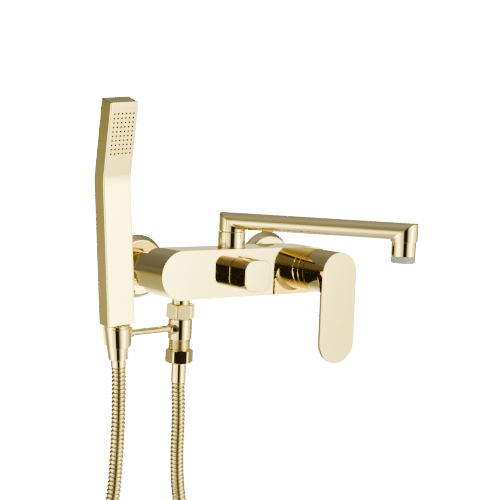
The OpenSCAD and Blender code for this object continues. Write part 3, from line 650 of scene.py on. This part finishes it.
def lever_handle():
    """Hub and plate in one: a fillet runs from the hub's underside into the plate's side edges."""
    fillet, back, front = 5.0, -PLATE_BACK_Y, -PLATE_FRONT_Y
    paths = []
    for rim in lever_outline():
        out = rim.length
        along = rim / out
        start = [(0, 102, 0), (9, 102), (9, 108.2), (16.2, 108.2), *ball_line(22.99, 16.2, HUB_R)]
        turn = math.acos(max(0.0, min(1.0, (HUB_R + fillet - out) / fillet)))
        flare = []
        for k in range(9):
            a = turn * k / 8
            flare.append((HUB_R + fillet * (1 - math.cos(a)), back - fillet * (1 - math.sin(a)), 0))
        edge = flare[-1][1] if out < HUB_R + fillet else back
        end = [(max(out, flare[-1][0]), edge, 0.35), (out, front, 0.7), (0, front, 0)]
        line = soften(with_reach([*start, *flare, *end], 0.4), 0.4, 3, closed=False)
        paths.append([Vector((along.x * r, along.y * r, h)) for r, h in line])
    return skin("lever_handle", paths, lever_side)


dress(lever_handle(), "lever_arm", "gold_plating", "lever")


# ---------------------------------------------------------------- diverter knob

def square_knob():
    """A knob with a rounded square face, hollow behind, where it goes over its stem."""
    size, corner, back, front = 28.6, 9.0, 79.6, 103.0
    straight = size / 2 - corner

    def outline(angle):
        c, s = abs(math.cos(angle)), abs(math.sin(angle))
        out = size / 2 / max(c, s)
        if out * min(c, s) > straight:
            along = (c + s) * straight
            out = along + math.sqrt(along**2 - 2 * straight**2 + corner**2)
        return [(0, 87.4, 0), (11.5, 87.4), (11.5, back), (out, back), (out, front, 0.9), (0, front, 0)]

    return lathe("square_knob", outline, facing(SPOUT_X), 160)


dress(square_knob(), "diverter", "gold_plating", "diverter_knob")


# ---------------------------------------------------------------- spout

def spout_section():
    """Points round the tube's section: (across, up)."""
    round_r, flat = SPOUT_H / 2, (SPOUT_W - SPOUT_H) / 2
    points = []
    for side in (1, -1):
        for k in range(20):
            a = math.radians(-90 + 180 * k / 20)
            points.append((side * (flat + round_r * math.cos(a)), side * round_r * math.sin(a)))
        for k in range(8):
            points.append((side * (flat - 2 * flat * k / 8), side * round_r))
    return points


def spout_tube():
    """A flat tube with a mitred elbow and a bored, round leg at each end."""
    leg_r = SPOUT_W / 2
    paths = []
    for across, up in spout_section():
        deep = math.copysign(math.sqrt(max(0, leg_r**2 - across**2)), up)

        def ring(x0, side, r, z):
            return Vector((x0 + side * deep * r / leg_r, across * r / leg_r, z))

        paths.append(soften([
            (Vector((0, 0, LEG_Z + 8)), 0),
            (ring(0, -1, 9.7, LEG_Z + 8), 0.3),
            (ring(0, -1, 9.7, LEG_Z), 0.3),
            (ring(0, -1, leg_r, LEG_Z), 0.35),
            (Vector((-deep, across, TUBE_Z + up)), 1.8),
            (Vector((SPOUT_LEN + deep, across, TUBE_Z + up)), 1.3),
            (ring(SPOUT_LEN, 1, leg_r, ELBOW_Z), 0.35),
            (ring(SPOUT_LEN, 1, 11.35, ELBOW_Z), 0.2),
            (ring(SPOUT_LEN, 1, 11.35, ELBOW_Z + 5), 0.2),
            (Vector((SPOUT_LEN, 0, ELBOW_Z + 5)), 0),
        ], 0.4, 4, closed=False))
    return skin("spout_tube", paths, along_spout)


dress(spout_tube(), "spout", "gold_plating", "spout_arm")
socket = [(9.55, 22), (13.05, 22), (13.05, 36.5, 0.5), (9.55, 36.5)]
dress(turned("swivel_socket", socket, at_spout), "mixer", "gold_plating", "spout_socket")

at_spout_end = along_spout @ Matrix.Translation((SPOUT_LEN, 0, 0))
sleeve = [(9.6, SLEEVE_Z), (11.25, SLEEVE_Z), (11.25, ELBOW_Z + 4.8), (9.6, ELBOW_Z + 4.8)]
dress(turned("spout_sleeve", sleeve, at_spout_end), "spout", "gold_plating", "outlet_sleeve")


def aerator_ring():
    """The screwed ring, with fine grip ribs round its visible edge."""
    def outline(angle):
        rib = 0.12 * max(0.0, math.cos(60 * angle))
        return [
            (8.35, AERATOR_Z), (10.9, AERATOR_Z, 0.9), (11.05 + rib, AERATOR_Z + 1.2, 0.2),
            (11.05 + rib, SLEEVE_Z - 0.8, 0.2), (10.8, SLEEVE_Z - 0.15, 0.2), (9.5, SLEEVE_Z - 0.15),
            (9.5, SLEEVE_Z + 6.4), (8.35, SLEEVE_Z + 6.4),
        ]
    return lathe("aerator_ring", outline, at_spout_end, 240, edge=0.3, steps=2)


dress(aerator_ring(), "spout", "grey_plastic", "aerator_housing")


# ---------------------------------------------------------------- shower outlet, tee and holder

nipple = [(6, -36), (10.2, -36), (10.2, -33.5), (8.5, -33.5), (8.5, -8.5), (6, -8.5)]
dress(turned("shower_nipple", nipple, at_outlet), "mixer", "gold_plating", "outlet_nipple")
outlet_bores = [(10.5, -40.7), (10.5, -32.3), (8.7, -32.3), (8.7, -27.3)]
dress(hex_nut("outlet_hex_nut", 24, -40.7, -27.3, outlet_bores, at_outlet, 43), "mixer",
      "gold_plating", "outlet_nut")
tee = [
    (7, -75.9), *thread(HALF_INCH_THREAD_R, -75.6, TEE_BOTTOM - 0.6), (9.4, TEE_BOTTOM, 0.3),
    (11.2, TEE_BOTTOM, 0.7), (11.2, TEE_TOP, 0.7), (10.4, TEE_TOP), (10.4, -38.25), (7, -38.25),
]
dress(turned("tee_piece", tee, at_outlet, 96, 0.35), "mixer", "gold_plating", "holder_tee")
boss = [
    (0, 5, 0), (8.4, 7.2, 0.2), (6.9, 9.6, 1.2), (5.7, 11.4, 1.2), (4.65, 12.8), (3.35, 12.8),
    (3.35, 8), (0, 8, 0),
]
dress(turned("tee_boss", boss, along_arm, 64), "mixer", "gold_plating")
arm = [(0, 7.9, 0), (3.25, 7.9), (3.25, 57.4), (0, 57.4, 0)]
dress(turned("clip_arm", arm, along_arm, 48), "mixer", "gold_plating", "holder_arm")
dress(refined("conical_clip", "holder_clip", 0.45), "mixer", "gold_plating", "holder_clip")
hose_bores = [(7.1, -81.3), (7.1, -79), (10.6, -79), (10.6, HOSE_NUT_TOP)]
hose_nut = dress(hex_nut("hose_hex_nut", 23, -81.3, HOSE_NUT_TOP, hose_bores, at_outlet, 33),
                 "mixer", "gold_plating", "hose_nut")
ferrule = [(4, -99.3), (7, -99.3, 0.5), (7, -78.9), (10.1, -78.9), (10.1, -77.3), (4, -77.3)]
hose_ferrule = dress(turned("hose_sleeve", ferrule, at_outlet), "mixer", "gold_plating",
                     "hose_ferrule")


# ---------------------------------------------------------------- hand shower

hand_ferrule = [(4, -28.7), (6.9, -28.7, 0.5), (6.9, 0.6), (10.1, 0.6), (10.1, 2.0), (4, 2.0)]
hand_sleeve = dress(turned("hand_sleeve", hand_ferrule, at_hand), "hose_end", "gold_plating",
                    "hand_ferrule")
cone = [
    (6.95, -22.1), (8.9, -22.1, 0.6), (11.9, 8.4, 0.6), (10.55, 8.4), (10.55, 0.5), (6.95, 0.5),
]
cone_nut = dress(turned("cone_nut", cone, at_hand, 128), "hose_end", "gold_plating", "hand_nut")


def bar_section():
    """Points round the bar's section: (across, towards the wall)."""
    x, y, corner = BAR_W / 2, BAR_D / 2, 1.3
    square = [(x, -y), (x, y), (-x, y), (-x, -y)]
    points = soften([(Vector(p), corner) for p in square], corner, 5)
    # two more points across the front let the spray field be cut out
    return [*points, Vector((-SPRAY_FIELD_EDGE, -y)), Vector((SPRAY_FIELD_EDGE, -y))]


def bar_line(across, deep):
    """One lengthwise line of the bar: up the handle, round the bend and up the head."""
    bend, steps = math.radians(HEAD_BEND), 10
    bend_reach = BEND_R * math.tan(bend / 2)
    r = BEND_R + deep
    points = [(across, deep, 0)]
    for k in range(steps + 1):
        a = bend * k / steps
        points.append((across, r * math.cos(a) - BEND_R, HANDLE_LEN - bend_reach + r * math.sin(a)))
    _, y, z = points[-1]
    for up in (SPRAY_FIELD_LOW, SPRAY_FIELD_HIGH, HEAD_LEN):
        s = up - bend_reach
        points.append((across, y - s * math.sin(bend), z + s * math.cos(bend)))
    return [Vector(p) for p in points]


def shower_bar():
    """The hand shower's bent bar with a pocket in the head, where the spray plate sits."""
    end_edge, pocket_depth = 0.9, 3.2
    top = bar_line(0, 0)[-1]
    paths = []
    for point in bar_section():
        line = [(p, 0) for p in bar_line(point.x, point.y)]
        line[0] = (line[0][0], end_edge)
        line[-1] = (line[-1][0], end_edge)
        whole = [(Vector((0, 0, 0)), 0), *line, (top, 0)]
        paths.append(soften(whole, end_edge, 4, closed=False))
    bm = skin_mesh(paths, Matrix.Translation((0, 0, BAR_S)), False)
    face_on_bar = at_hand.inverted() @ at_face
    field = []
    for face in bm.faces:
        centre = face_on_bar.inverted() @ face.calc_center_median()
        on_front = abs(centre.x) < SPRAY_FIELD_EDGE and abs(centre.y) < 0.2
        if on_front and SPRAY_FIELD_LOW < centre.z < SPRAY_FIELD_HIGH:
            field.append(face)
    floor = bmesh.ops.extrude_face_region(bm, geom=field)["geom"]
    inward = face_on_bar.to_3x3() @ Vector((0, pocket_depth, 0))
    bmesh.ops.translate(bm, vec=inward, verts=[v for v in floor if isinstance(v, bmesh.types.BMVert)])
    bmesh.ops.delete(bm, geom=field, context="FACES")
    bmesh.ops.recalc_face_normals(bm, faces=bm.faces)
    bmesh.ops.transform(bm, matrix=at_hand, verts=bm.verts)
    return even_shading(new_piece("shower_bar", bm))


dress(shower_bar(), "hand_shower", "gold_plating", "hand_shell")


def spray_nozzles():
    """The rubber mat behind the spray plate, with a hollow nozzle in each hole."""
    # (radius, depth) from the middle of the nozzle's bore to the back of its foot
    line = [(0, 0.9), (0.4, 0.9), (0.42, -0.2), (0.7, -0.2), (0.88, 0.3), (0.88, 1.6), (0, 1.6)]
    nozzle_paths = [
        [Vector((r * math.cos(angle), h, r * math.sin(angle))) for r, h in line]
        for angle in full_turn(12)
    ]
    nozzle = new_piece("nozzle", skin_mesh(nozzle_paths, Matrix.Identity(4), False))

    half, low, high, near, far = 10.0, SPRAY_FIELD_LOW + 0.1, SPRAY_FIELD_HIGH - 0.1, 1.3, 2.9
    middle = (low + high) / 2
    corners = [(-half, low), (half, low), (half, high), (-half, high)]
    slab = []
    for x, z in soften([(Vector(c), 0.5) for c in corners], 0.5, 2):
        rim = [Vector((x, near, z)), Vector((x, far, z))]
        slab.append([Vector((0, near, middle)), *rim, Vector((0, far, middle))])
    mat = new_piece("mat", skin_mesh(slab, Matrix.Identity(4), False))

    recipe = Recipe("Spray nozzles", {
        "Nozzle": ("Object", nozzle),
        "Columns": ("Int", 6),
        "Rows": ("Int", 10),
        "Column pitch": ("Float", 3.7 * MM),
        "Row pitch": ("Float", 3.85 * MM),
        "First row": ("Float", 24.5 * MM),
        "Material": ("Material", MATERIALS["black_rubber"]),
    })
    given = recipe.start
    column_gaps = recipe.math("SUBTRACT", given["Columns"], 1)
    row_gaps = recipe.math("SUBTRACT", given["Rows"], 1)
    wide = recipe.math("MULTIPLY", column_gaps, given["Column pitch"])
    tall = recipe.math("MULTIPLY", row_gaps, given["Row pitch"])
    grid = recipe.add(
        "GeometryNodeMeshGrid", Size_X=wide, Size_Y=tall, Vertices_X=given["Columns"],
        Vertices_Y=given["Rows"],
    )
    half_way = recipe.math("ADD", given["First row"], recipe.math("DIVIDE", tall, 2))
    up = recipe.add("ShaderNodeCombineXYZ", Z=half_way)
    upright = recipe.add(
        "GeometryNodeTransform", Geometry=grid.outputs[0], Translation=up.outputs[0],
        Rotation=(math.radians(90), 0, 0),
    )
    shape = recipe.add("GeometryNodeObjectInfo", Object=given["Nozzle"])
    many = recipe.add(
        "GeometryNodeInstanceOnPoints", Points=upright.outputs[0], Instance=shape.outputs["Geometry"]
    )
    joined = recipe.add("GeometryNodeJoinGeometry")
    recipe.tree.links.new(many.outputs[0], joined.inputs[0])
    recipe.tree.links.new(given["Geometry"], joined.inputs[0])
    recipe.close(joined.outputs[0])
    piece = recipe.bake("spray_nozzles", mat)
    bpy.data.objects.remove(nozzle)
    shift = at_face.to_translation() * MM
    piece.data.transform(Matrix.Translation(shift) @ at_face.to_3x3().to_4x4())
    return piece


dress(spray_nozzles(), "hand_shower", "black_rubber", "nozzle_mat")

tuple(HOSE_EXIT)
[tuple(p) for p in hose_line]


# ---------------------------------------------------------------- CAD nodes that stay

CARRIED_OVER = {
    "gold_plating": ["spray_plate"],
    "raw_brass": ["cartridge_nut", "diverter_housing", "diverter_stem", "spout_spigot", "hand_inlet"],
    "stainless_steel": ["inlet_strainers", "spout_screw", "pivot_pin", "lever_stem", "lever_screw",
                        "knob_screw"],
    "black_rubber": ["inlet_washers", "cartridge_seals", "diverter_seal", "outlet_washer",
                     "hose_washer", "spout_o_rings", "aerator_washer", "hand_washer"],
    "white_plastic": ["cartridge_base", "cartridge_housing", "lever_carrier", "check_valve",
                      "aerator_insert"],
    "ceramic": ["fixed_disc", "moving_disc"],
}
for slot, names in CARRIED_OVER.items():
    for name in names:
        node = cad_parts[name]
        node.data.materials.clear()
        node.data.materials.append(SATIN_GOLD if name == "spray_plate" else MATERIALS[slot])


# ---------------------------------------------------------------- studio

def studio_light():
    """A soft studio drawn on the world by direction.

    There is a softbox to the left and a taller one to the right, a dark gap behind the camera, and
    a soft light behind the object. The left table also holds the light behind the object.
    """
    # (angle, brightness): 0 degrees is behind the camera, and the angle grows to the right
    left_box = [
        (-180, 3.0), (-155, 2.6), (-138, 0.8), (-120, 0.4), (-95, 0.36), (-84, 1.2), (-73, 3.2),
        (-62, 5.5), (-53, 6.5), (-42, 4.5), (-32, 2.2), (-20, 1.8), (-9, 0.7), (-7, 0), (150, 0),
        (165, 3.0), (180, 3.0),
    ]
    right_box = [
        (-180, 0), (17, 0), (26, 0.25), (34, 1.0), (43, 1.8), (53, 4.0), (61, 6.5), (68, 5.6),
        (72, 3.6), (75, 3.0), (78, 2.3), (84, 1.9), (97, 1.6), (109, 0.8), (122, 0.4), (150, 0.4),
        (165, 0), (180, 0),
    ]
    # (elevation, share of that brightness), and (elevation, brightness of the fill that is added)
    left_share = [
        (-90, 0), (-60, 0.05), (-52, 0.1), (-38, 0.4), (-26, 1.0), (-12, 1.0), (-6, 0.75), (0, 0.35),
        (6, 0.25), (14, 0.05), (90, 0),
    ]
    right_share = [
        (-90, 0), (-60, 0.05), (-40, 0.3), (-24, 0.9), (-9, 0.95), (-3, 1.15), (8, 1.0), (18, 0.1),
        (90, 0),
    ]
    fill = [
        (-90, 0.35), (-62, 0.6), (-50, 0.3), (-35, 0.02), (0, 0.02), (10, 0.12), (40, 0.17), (90, 0.4),
    ]
    world = bpy.data.worlds.new("Soft studio")
    bpy.context.scene.world = world
    world.use_nodes = True
    tree = world.node_tree
    nodes, links = tree.nodes, tree.links
    nodes.clear()
    direction = nodes.new("ShaderNodeTexCoord").outputs["Generated"]

    def dot(axis):
        node = nodes.new("ShaderNodeVectorMath")
        node.operation = "DOT_PRODUCT"
        links.new(direction, node.inputs[0])
        node.inputs[1].default_value = axis
        return node.outputs["Value"]

    def combine(operation, *values):
        return math_node(tree, operation, values)

    def background(colour, strength):
        node = nodes.new("ShaderNodeBackground")
        node.inputs["Color"].default_value = colour
        links.new(strength, node.inputs["Strength"])
        return node.outputs[0]

    def graph(value, points, full):
        """The line through points, which run from -full to full degrees, read at value radians."""
        top = max(y for _, y in points)
        across = combine("DIVIDE", value, math.radians(2 * full))
        node = nodes.new("ShaderNodeFloatCurve")
        links.new(combine("ADD", across, 0.5), node.inputs["Value"])
        curve = node.mapping.curves[0]
        places = [((x + full) / (2 * full), y / top) for x, y in points]
        curve.points[0].location, curve.points[-1].location = places[0], places[-1]
        for place in places[1:-1]:
            curve.points.new(*place)
        for point in curve.points:
            point.handle_type = "VECTOR"
        node.mapping.update()
        return combine("MULTIPLY", node.outputs["Value"], top)

    towards_camera = Vector((-math.sin(CAMERA_TURN), -math.cos(CAMERA_TURN), 0))
    turn = combine("ARCTAN2", dot(level_right), dot(towards_camera))
    height = combine("ARCSINE", dot((0, 0, 1)))
    boxes = combine(
        "ADD",
        combine("MULTIPLY", graph(turn, left_box, 180), graph(height, left_share, 90)),
        combine("MULTIPLY", graph(turn, right_box, 180), graph(height, right_share, 90)),
    )
    to_camera = nodes.new("ShaderNodeLightPath").outputs["Is Camera Ray"]
    seen = combine("MULTIPLY", to_camera, BACKDROP)
    both = nodes.new("ShaderNodeAddShader")
    links.new(background((1, 0.975, 0.56, 1), boxes), both.inputs[0])
    links.new(background((1, 1, 1, 1), combine("ADD", graph(height, fill, 90), seen)), both.inputs[1])
    out = nodes.new("ShaderNodeOutputWorld")
    links.new(both.outputs[0], out.inputs["Surface"])


def studio_floor():
    """A plain pale floor that looks as bright as the background and isn't seen in the plating."""
    bm = bmesh.new()
    bmesh.ops.create_grid(bm, x_segments=1, y_segments=1, size=6000)
    bmesh.ops.translate(bm, vec=(0, 0, FLOOR_Z), verts=bm.verts)
    floor = new_piece("studio_floor", bm)
    paint = bpy.data.materials.new("pale_floor")
    paint.use_nodes = True
    shader = paint.node_tree.nodes["Principled BSDF"]
    shader.inputs["Base Color"].default_value = (0.9, 0.9, 0.9, 1)
    shader.inputs["Roughness"].default_value = 1
    shader.inputs["Emission Color"].default_value = (1, 1, 1, 1)
    to_camera = paint.node_tree.nodes.new("ShaderNodeLightPath").outputs["Is Camera Ray"]
    glow = math_node(paint.node_tree, "MULTIPLY", (to_camera, BACKDROP))
    paint.node_tree.links.new(glow, shader.inputs["Emission Strength"])
    floor.data.materials.append(paint)
    floor.visible_glossy = False
    floor.visible_shadow = False


studio_light()
studio_floor()
view = bpy.context.scene.view_settings
view.view_transform = "AgX"
view.look = "AgX - Medium High Contrast"
